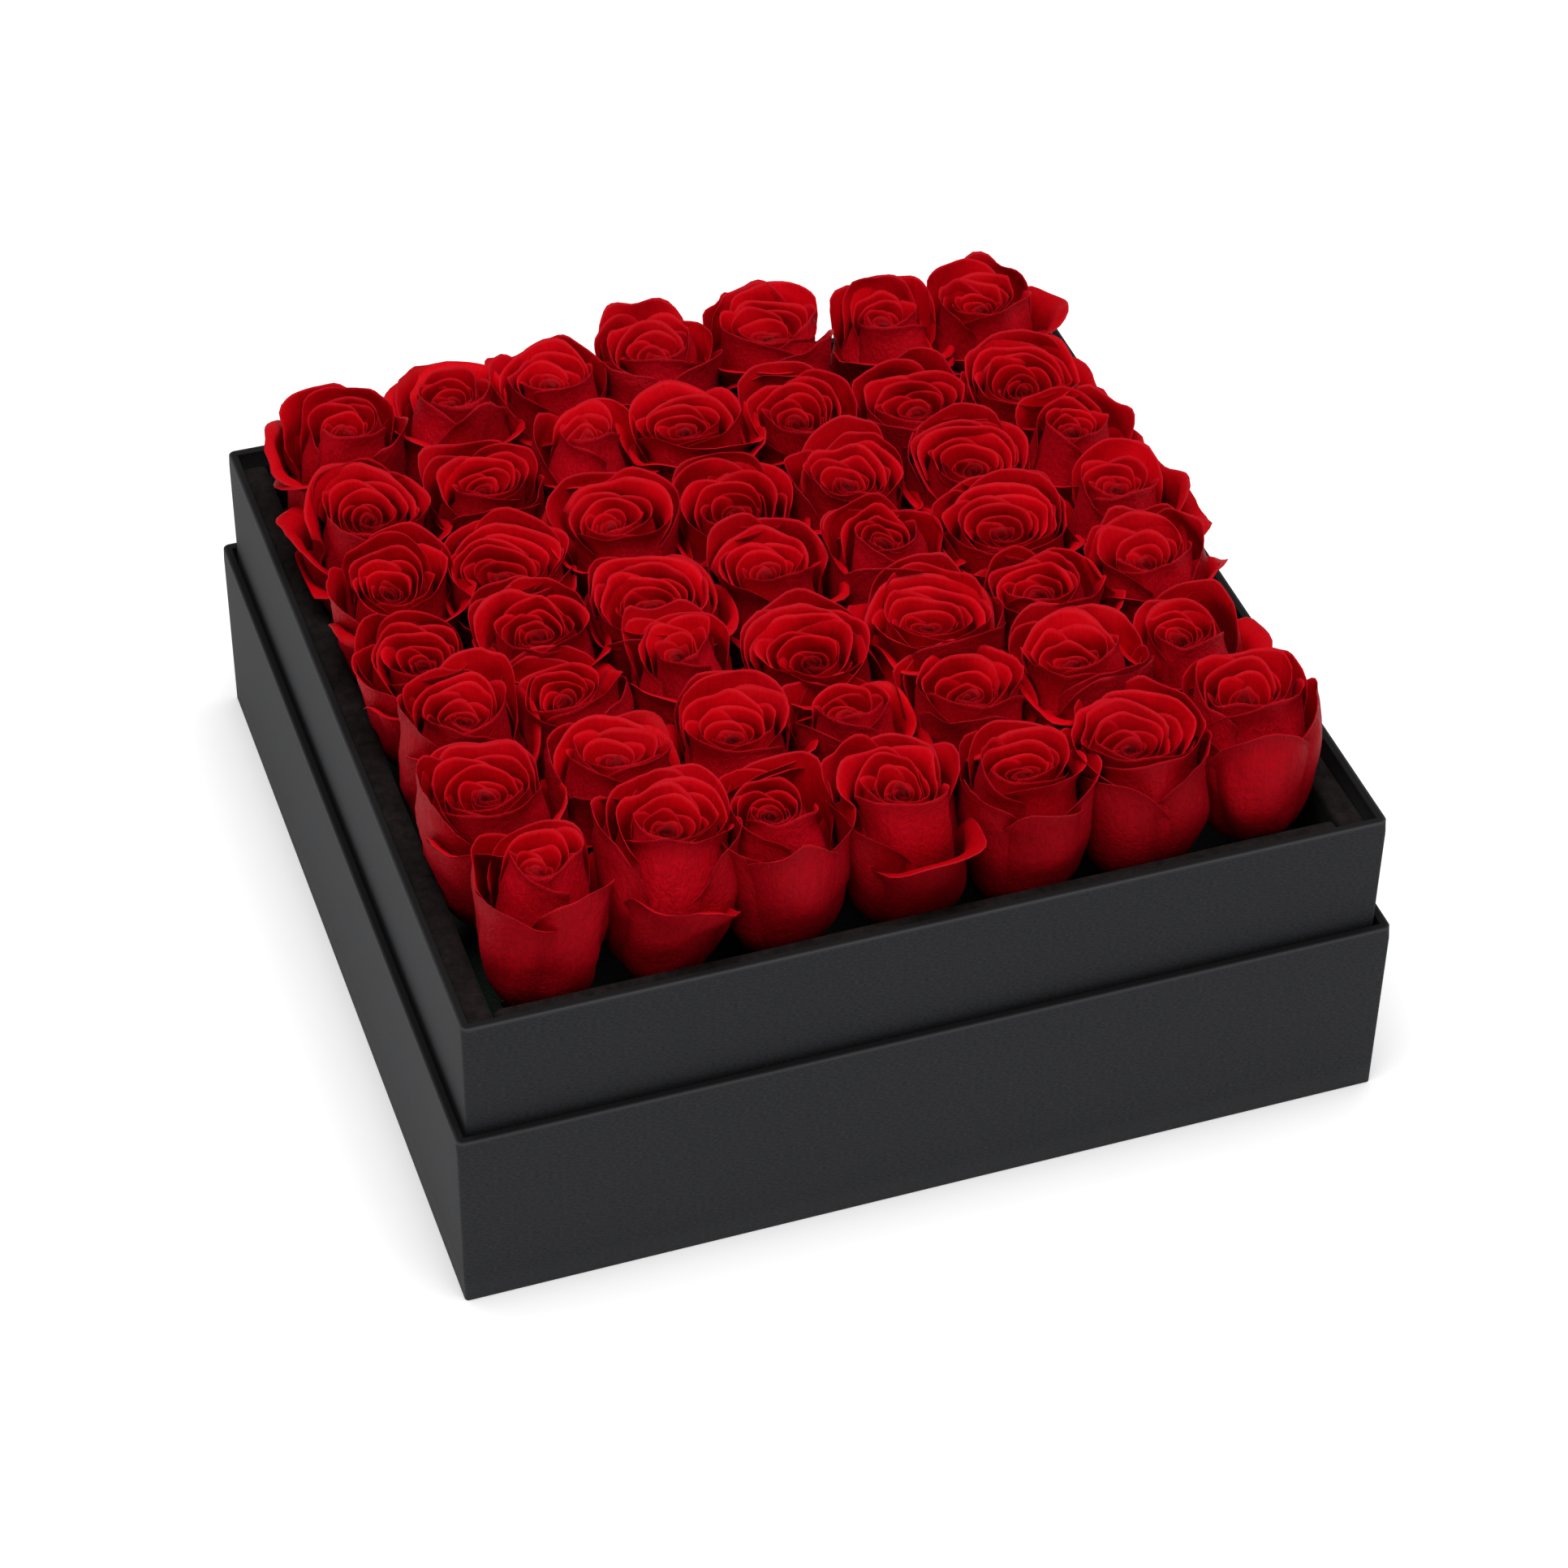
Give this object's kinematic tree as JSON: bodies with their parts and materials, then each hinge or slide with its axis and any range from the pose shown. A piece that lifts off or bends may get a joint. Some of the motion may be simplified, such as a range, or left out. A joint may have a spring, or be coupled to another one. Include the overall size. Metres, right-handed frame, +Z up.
{
  "type": "flower box",
  "caption": "Square rigid gift box of red cut roses standing in its own upturned lid, with velvet-covered walls, a waterproof tray and flower foam.",
  "frame": {"origin": "middle of the surface that the upturned lid rests on", "axes": "+Z up through the open box, +X along the front edge to the right, +Y to the back"},
  "size_m": [0.33, 0.33, 0.1548],
  "materials": {
    "ribbed_paper": "matt paper, black, finely ribbed, glued over board",
    "black_board": "raw black board",
    "velvet": "black short-pile velvet over board",
    "tray_plastic": "thin black vacuum-formed plastic",
    "flower_foam": "green flower foam, soaked",
    "rose": "deep red velvety rose petals"
  },
  "bodies": {
    "lid": {"lid_board": "black_board", "lid_side_wrap": "ribbed_paper", "lid_top_sheet": "ribbed_paper"},
    "box": {"box_board": "black_board", "box_side_wrap": "ribbed_paper", "box_base_sheet": "ribbed_paper", "side_linings": "velvet", "end_linings": "velvet", "floor_lining": "velvet"},
    "insert": {"liner_tray": "tray_plastic", "foam_blocks": "flower_foam", "rose_1_1": "rose", "rose_1_2": "rose", "rose_1_3": "rose", "rose_1_4": "rose", "rose_1_5": "rose", "rose_1_6": "rose", "rose_1_7": "rose", "rose_2_1": "rose", "rose_2_2": "rose", "rose_2_3": "rose", "rose_2_4": "rose", "rose_2_5": "rose", "rose_2_6": "rose", "rose_2_7": "rose", "rose_3_1": "rose", "rose_3_2": "rose", "rose_3_3": "rose", "rose_3_4": "rose", "rose_3_5": "rose", "rose_3_6": "rose", "rose_3_7": "rose", "rose_4_1": "rose", "rose_4_2": "rose", "rose_4_3": "rose", "rose_4_4": "rose", "rose_4_5": "rose", "rose_4_6": "rose", "rose_4_7": "rose", "rose_5_1": "rose", "rose_5_2": "rose", "rose_5_3": "rose", "rose_5_4": "rose", "rose_5_5": "rose", "rose_5_6": "rose", "rose_5_7": "rose", "rose_6_1": "rose", "rose_6_2": "rose", "rose_6_3": "rose", "rose_6_4": "rose", "rose_6_5": "rose", "rose_6_6": "rose", "rose_6_7": "rose", "rose_7_1": "rose", "rose_7_2": "rose", "rose_7_3": "rose", "rose_7_4": "rose", "rose_7_5": "rose", "rose_7_6": "rose", "rose_7_7": "rose"}
  },
  "joints": [
    {"name": "box_lift", "type": "slide", "parent": "lid", "child": "box", "axis": [0, 0, 1], "range_m": [0, 0.08]},
    {"name": "insert_lift", "type": "slide", "parent": "box", "child": "insert", "axis": [0, 0, 1], "range_m": [0, 0.12]}
  ]
}
